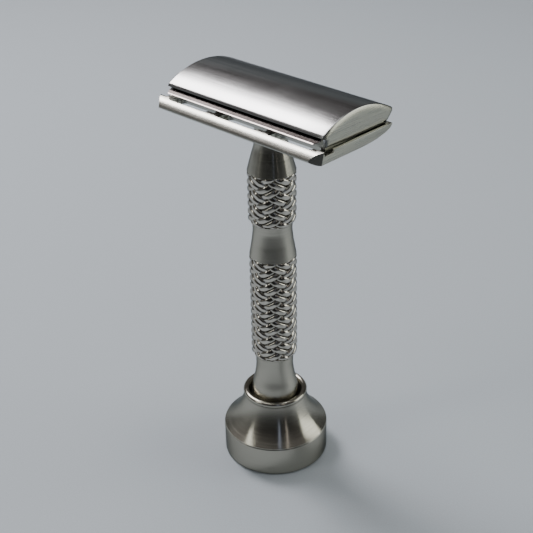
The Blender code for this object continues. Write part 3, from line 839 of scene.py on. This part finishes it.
def build_blade(look):
    """A strip with a ground edge, clipped front corners and two holes, on its slope."""
    depth = (BLADE_BACK_Y - EDGE_Y) / math.cos(BLADE_SLOPE)
    across, up = math.cos(BLADE_SLOPE), math.sin(BLADE_SLOPE)
    flat = [(0.0, -GRIND_DROP), (GRIND_TOP, 0.0), (depth, 0.0), (depth, -BLADE_THICKNESS),
            (GRIND_UNDER, -BLADE_THICKNESS)]
    section = [(EDGE_Y + v * across - w * up, EDGE_HEIGHT + v * up + w * across) for v, w in flat]
    blade = prism("blade_strip", section, -BLADE_HALF_LENGTH, BLADE_HALF_LENGTH, look)
    low, high = EDGE_HEIGHT - 2.0 * CUT_MARGIN, PIN_TOP + CUT_MARGIN
    cutters = []
    for side in (1, -1):
        cutters.append(round_cut("hole_cut", PIN_HOLE_RADIUS, low, high, (side * PIN_X, PIN_Y)))
        slant = (BLADE_HALF_LENGTH - EDGE_HALF_LENGTH) / BLADE_CORNER
        clip = [
            (side * (EDGE_HALF_LENGTH - slant * CUT_MARGIN), EDGE_Y - CUT_MARGIN),
            (side * (BLADE_HALF_LENGTH + slant * CUT_MARGIN), EDGE_Y + BLADE_CORNER + CUT_MARGIN),
            (side * (BLADE_HALF_LENGTH + CUT_MARGIN), EDGE_Y - CUT_MARGIN),
        ]
        cutters.append(upright_cut("clip_cut", clip, low, high))
    carve(blade, cutters)
    blade.data.shade_smooth()
    blade.data.set_sharp_from_angle(angle=BLADE_SMOOTH_ANGLE)
    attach(blade, BLADE_BODY)
    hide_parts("blade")


def cap_outline():
    """The cap's section: round top, rolled nose above the blade, end skirt and rear rim."""
    middle = 0.5 * (CAP_FRONT_Y + CAP_BACK_Y)
    half = 0.5 * (CAP_BACK_Y - CAP_FRONT_Y)
    rise = CAP_CROWN_HEIGHT - CAP_WIDEST_HEIGHT
    radius = (half ** 2 + rise ** 2) / (2.0 * rise)
    centre = (middle, CAP_CROWN_HEIGHT - radius)
    nose_y = CAP_FRONT_Y + CAP_NOSE_ROUND
    nose_rise = math.sqrt((radius - CAP_NOSE_ROUND) ** 2 - (nose_y - middle) ** 2)
    nose_centre = (nose_y, centre[1] + nose_rise)
    nose_start = math.degrees(math.atan2(nose_rise, nose_y - middle))
    rear_start = 90.0 - math.degrees(math.asin(half / radius))
    outline = points_on_arc(centre, radius, rear_start, 90.0, CAP_CROWN_STEPS)
    outline += points_on_arc(centre, radius, 90.0, nose_start, CAP_CROWN_STEPS)[1:]
    outline += points_on_arc(nose_centre, CAP_NOSE_ROUND, nose_start, CAP_NOSE_END, CAP_NOSE_STEPS)[1:]
    outline += [
        (SKIRT_FRONT_Y, outline[-1][1]),
        (SKIRT_FRONT_Y, SKIRT_FRONT_HEIGHT),
        (SKIRT_BACK_Y, SKIRT_BACK_HEIGHT),
        (SKIRT_BACK_Y, CAP_REAR_RIM[1]),
        CAP_REAR_RIM,
        (CAP_BACK_Y, CAP_REAR_SIDE_HEIGHT),
    ]
    return outline


def drawn_in(point, inset):
    """Move a section point towards the cap's spine; less so where the spine is near."""
    place = Vector(point)
    spine = Vector((min(max(place.x, CAP_SPINE_Y[0]), CAP_SPINE_Y[1]), CAP_SPINE_HEIGHT))
    towards = spine - place
    share = min(1.0, towards.length / CAP_SPINE_REACH)
    return place + towards.normalized() * inset * share


def cap_end_profile():
    """(inset, setback) steps from the cap's side over its rounded edge onto its crowned end."""
    crown = math.radians(CAP_END_TILT)
    setback_at_edge = 0.5 * math.tan(crown) * CAP_END_WIDTH
    steps = []
    for step in range(CAP_EDGE_STEPS + 1):
        angle = (math.pi / 2 - crown) * step / CAP_EDGE_STEPS
        inset = CAP_EDGE_ROUND * (1.0 - math.cos(angle))
        steps.append((inset, setback_at_edge + CAP_EDGE_ROUND * (math.cos(crown) - math.sin(angle))))
    edge_inset = steps[-1][0]
    for step in range(1, CAP_END_STEPS + 1):
        t = step / CAP_END_STEPS
        steps.append((edge_inset + CAP_END_WIDTH * t, setback_at_edge * (1.0 - t) ** 2))
    return steps


def build_cap(look, end_look):
    """The cap: a shell with crowned ends, hollow over the blade and the bed, with its blind holes."""
    outline = cap_outline()
    profile = cap_end_profile()
    stations = [(-CAP_HALF_LENGTH + setback, inset) for inset, setback in profile[::-1]]
    stations += [(CAP_HALF_LENGTH - setback, inset) for inset, setback in profile]
    bm = bmesh.new()
    rings = []
    for x, inset in stations:
        drawn = [drawn_in(point, inset) for point in outline]
        rings.append([bm.verts.new((x * MM, y * MM, z * MM)) for y, z in drawn])
    join_rings(bm, rings)
    cap = add_object("cap_shell", bm, look)
    low = SKIRT_BACK_HEIGHT - CUT_MARGIN
    front = CAP_FRONT_Y - CUT_MARGIN
    press_y = EDGE_Y + (CAP_RELIEF_HEIGHT - CLAMP_GAP - EDGE_HEIGHT) / math.tan(BLADE_SLOPE)
    hollow = [
        (front, low),
        (front, CAP_RELIEF_HEIGHT),
        (press_y, CAP_RELIEF_HEIGHT),
        (CAP_INNER_FRONT_Y, blade_top(CAP_INNER_FRONT_Y) + CLAMP_GAP),
        (CAP_INNER_FRONT_Y, CAP_INNER_HEIGHT),
        (CAP_INNER_BACK_Y, CAP_INNER_HEIGHT),
        (CAP_INNER_BACK_Y, CAP_REAR_RIM[1]),
        (SKIRT_BACK_Y, CAP_REAR_RIM[1]),
        (SKIRT_BACK_Y, low),
    ]
    cutters = [prism("hollow_cut", hollow, -SKIRT_INNER_X, SKIRT_INNER_X, None)]
    cutters.append(round_cut("stud_cut", STUD_RADIUS + FIT, low, STUD_TOP + FIT))
    for side in (1, -1):
        cutters.append(round_cut("pin_cut", PIN_RADIUS + FIT, low, PIN_TOP + FIT, (side * PIN_X, PIN_Y)))
    carve(cap, cutters)
    cap.data.shade_smooth()
    cap.data.set_sharp_from_angle(angle=SMOOTH_ANGLE)
    dress_ends(cap, end_look)
    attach(cap, CAP_BODY)
    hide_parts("cap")


def build_stud(look):
    """The cap's stud, with its thread as one continuous groove."""
    def radius_at(angle, height):
        turn = (height / THREAD_PITCH - angle / math.tau) % 1.0
        groove = max(0.0, 1.0 - abs(2.0 * turn - 1.0) / THREAD_GROOVE_SHARE)
        fade = min(1.0, max(0.0, (THREAD_TOP - height) / THREAD_PITCH))
        tip = max(0.0, STUD_BOTTOM + STUD_CHAMFER - height)
        return STUD_RADIUS - tip - min(1.0, groove) * fade * THREAD_DEPTH * (1.0 - tip / STUD_CHAMFER)

    rows = round((THREAD_TOP - STUD_BOTTOM) / THREAD_PITCH * THREAD_ROWS)
    heights = [STUD_BOTTOM + (THREAD_TOP - STUD_BOTTOM) * row / rows for row in range(rows + 1)]
    heights.append(STUD_TOP)
    bm = bmesh.new()
    rings = ring_mesh(bm, radius_at, heights, HOLE_SEGMENTS)
    bm.faces.new(rings[0][::-1])
    bm.faces.new(rings[-1])
    stud = add_object("stud_threaded", bm, look)
    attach(stud, CAP_BODY)
    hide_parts("cap_stud")


def build_pins(look):
    """The two locating pins, pressed into the cap."""
    outline = [(0.0, PIN_TOP), (PIN_RADIUS, PIN_TOP)]
    outline += [(PIN_RADIUS, PIN_BOTTOM + PIN_NOSE)]
    nose_centre = (PIN_RADIUS - PIN_NOSE, PIN_BOTTOM + PIN_NOSE)
    outline += points_on_arc(nose_centre, PIN_NOSE, 0, -90, PIN_NOSE_STEPS)[1:]
    outline += [(0.0, PIN_BOTTOM)]
    for side, name in ((1, "right"), (-1, "left")):
        pin = turned(f"pin_turned_{name}", outline, look, HOLE_SEGMENTS)
        for vertex in pin.data.vertices:
            vertex.co += Vector((side * PIN_X, PIN_Y, 0.0)) * MM
        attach(pin, CAP_BODY)
        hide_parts(f"locating_pin_{name}")


def build_pad(look):
    """The rubber pad under the stand, with ring grooves on its sole."""
    outline = [(0.0, PAD_THICKNESS), (PAD_RADIUS - PAD_ROUND, PAD_THICKNESS)]
    upper = (PAD_RADIUS - PAD_ROUND, PAD_THICKNESS - PAD_ROUND)
    lower = (PAD_RADIUS - PAD_ROUND, PAD_ROUND)
    outline += points_on_arc(upper, PAD_ROUND, 90, 0, PAD_ROUND_STEPS)[1:]
    outline += points_on_arc(lower, PAD_ROUND, 0, -90, PAD_ROUND_STEPS)
    for groove in PAD_GROOVES:
        outline += [(groove + PAD_GROOVE_HALF, 0.0), (groove + PAD_GROOVE_HALF * 0.5, PAD_GROOVE_DEPTH)]
        outline += [(groove - PAD_GROOVE_HALF * 0.5, PAD_GROOVE_DEPTH), (groove - PAD_GROOVE_HALF, 0.0)]
    outline += [(0.0, 0.0)]
    pad = turned("pad_moulded", outline, look)
    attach(pad, STAND_BODY)
    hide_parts("stand_pad")


# ---------------------------------------------------------------- studio

def add_camera():
    """The scene's camera, at rest."""
    data = bpy.data.cameras.new("camera")
    data.lens = CAMERA_LENS
    data.sensor_width = CAMERA_SENSOR
    data.clip_start = CAMERA_NEAR
    data.clip_end = CAMERA_FAR
    camera = bpy.data.objects.new("camera", data)
    heading = Matrix.Rotation(math.radians(CAMERA_HEADING), 4, "Z")
    tilt = Matrix.Rotation(math.radians(90.0 - CAMERA_TILT), 4, "X")
    roll = Matrix.Rotation(math.radians(CAMERA_ROLL), 4, "Z")
    place = Matrix.Translation(Vector(CAMERA_PLACE) * MM)
    camera.matrix_world = place @ heading @ tilt @ roll
    bpy.context.scene.collection.objects.link(camera)
    bpy.context.scene.camera = camera


def floor_paper():
    """Pale matt paper with a faint grain, and painted shade that darkens it towards the camera's side."""
    made, shader = principled("floor_paper", FLOOR_COLOUR, FLOOR_ROUGHNESS, 0.0)
    nodes, links = made.node_tree.nodes, made.node_tree.links
    place = nodes.new("ShaderNodeTexCoord").outputs["Object"]
    grain = spread_noise(nodes, links, place, FLOOR_GRAIN, FLOOR_GRAIN_DETAIL, *FLOOR_GRAIN_TONES)
    # painted shade: the paper's colour is darkened towards the camera's side
    towards = nodes.new("ShaderNodeVectorMath")
    towards.operation = "DOT_PRODUCT"
    towards.inputs[1].default_value = from_camera(0.0, 0.0)
    links.new(place, towards.inputs[0])
    painted_shade = spread(nodes, links, towards.outputs["Value"], FLOOR_PAINTED_SHADE_START, FLOOR_PAINTED_SHADE_END, 1.0, FLOOR_PAINTED_SHADE_SHARE)
    tone = colour_multiplier(nodes)
    tone.inputs["A"].default_value = (*FLOOR_COLOUR, 1.0)
    links.new(multiply(nodes, links, grain, painted_shade), tone.inputs["B"])
    links.new(tone.outputs["Result"], shader.inputs["Base Color"])
    return made


def add_floor():
    """The table's top, a flat sheet that isn't part of the razor."""
    bm = bmesh.new()
    bmesh.ops.create_grid(bm, x_segments=1, y_segments=1, size=FLOOR_HALF_SIZE)
    mesh = bpy.data.meshes.new("floor")
    bm.to_mesh(mesh)
    bm.free()
    mesh.materials.append(floor_paper())
    floor = bpy.data.objects.new("floor", mesh)
    bpy.context.scene.collection.objects.link(floor)


def from_camera(turn, rise):
    """Direction that lies turn degrees to the right of the camera's side and rise degrees up."""
    heading = math.radians(CAMERA_HEADING + turn)
    level = math.cos(math.radians(rise))
    return Vector((math.sin(heading) * level, -math.cos(heading) * level, math.sin(math.radians(rise))))


def add_softbox(name, turn, rise, distance, size, radiance, colour):
    """A rectangular area light that faces the razor from the given direction."""
    data = bpy.data.lights.new(name, "AREA")
    data.shape = "RECTANGLE"
    data.size, data.size_y = size
    data.energy = radiance * math.pi * size[0] * size[1]
    data.color = colour
    light = bpy.data.objects.new(name, data)
    back = from_camera(turn, rise)
    light.location = Vector(LIGHT_AIM) * MM + back * distance
    light.rotation_mode = "QUATERNION"
    light.rotation_quaternion = back.to_track_quat("Z", "Y")
    bpy.context.scene.collection.objects.link(light)


def add_world():
    """A room by direction: a pale sweep low down, a dark band above it, a dark side by the camera."""
    world = bpy.data.worlds.new("studio")
    bpy.context.scene.world = world
    world.use_nodes = True
    nodes, links = world.node_tree.nodes, world.node_tree.links
    background = nodes["Background"]
    background.inputs["Strength"].default_value = WORLD_STRENGTH
    place = nodes.new("ShaderNodeTexCoord")
    split = nodes.new("ShaderNodeSeparateXYZ")
    links.new(place.outputs["Generated"], split.inputs[0])
    by_height = ramp(nodes, links, split.outputs["Z"], WORLD_BY_HEIGHT)
    side = nodes.new("ShaderNodeVectorMath")
    side.operation = "DOT_PRODUCT"
    side.inputs[1].default_value = from_camera(0.0, 0.0)
    links.new(place.outputs["Generated"], side.inputs[0])
    nearness = spread(nodes, links, side.outputs["Value"], -1.0, 1.0, 0.0, 1.0)
    by_side = ramp(nodes, links, nearness, WORLD_BY_SIDE)
    mix = colour_multiplier(nodes)
    links.new(by_height, mix.inputs["A"])
    links.new(by_side, mix.inputs["B"])
    links.new(mix.outputs["Result"], background.inputs["Color"])


def add_studio():
    add_camera()
    add_floor()
    add_world()
    for softbox in SOFTBOXES:
        add_softbox(*softbox)


def main():
    steels = {name: steel(name, *values) for name, values in STEELS.items()}
    build_stand(steels["turned_steel"])
    build_pad(rubber("pad_rubber"))
    build_handle_bars(steels["turned_steel"])
    build_grip("grip_lower", LOWER_GRIP, steels["braid_steel"])
    build_grip("grip_upper", UPPER_GRIP, steels["braid_steel"])
    build_base_plate(steels["plate_steel"], steels["end_steel"])
    build_blade(steels["strip_steel"])
    build_cap(steels["cap_steel"], steels["end_steel"])
    build_stud(steels["machined_steel"])
    build_pins(steels["machined_steel"])
    add_studio()


main()
